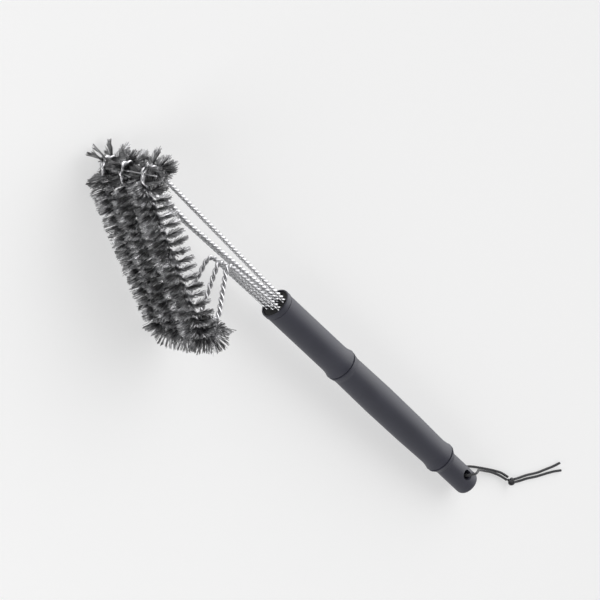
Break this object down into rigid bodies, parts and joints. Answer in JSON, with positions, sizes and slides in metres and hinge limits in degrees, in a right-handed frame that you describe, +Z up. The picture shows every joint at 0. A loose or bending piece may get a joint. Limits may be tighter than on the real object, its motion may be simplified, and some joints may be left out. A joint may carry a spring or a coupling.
{
  "type": "grill cleaning brush",
  "caption": "Long-handled grill brush with twisted-wire bristle loops side by side, a cane-style plastic handle and a knotted lanyard, lying on its side.",
  "frame": {"origin": "on the table under the middle of the brush's box, leaving out the lanyard", "axes": "+X from the handle's butt to the bristle head, +Z up off the table with the brush on its side"},
  "size_m": [0.5298, 0.1527, 0.0717],
  "materials": {
    "handle_plastic": "moulded, fine satin grain",
    "plug_plastic": "matte black",
    "steel_wire": "bright drawn wire",
    "bristle_steel": "fine spring wire",
    "lanyard_cord": "waxed braid"
  },
  "bodies": {
    "root": {"handle_grip": "handle_plastic", "wire_plug": "plug_plastic", "twisted_wire_right": "steel_wire", "twisted_wire_middle": "steel_wire", "twisted_wire_left": "steel_wire", "bristles_right": "bristle_steel", "bristles_middle": "bristle_steel", "bristles_left": "bristle_steel", "cross_wire": "steel_wire", "lanyard_upper": "lanyard_cord", "lanyard_lower": "lanyard_cord", "lanyard_knot": "lanyard_cord", "lanyard_tail_a": "lanyard_cord", "lanyard_tail_b": "lanyard_cord"}
  },
  "joints": []
}
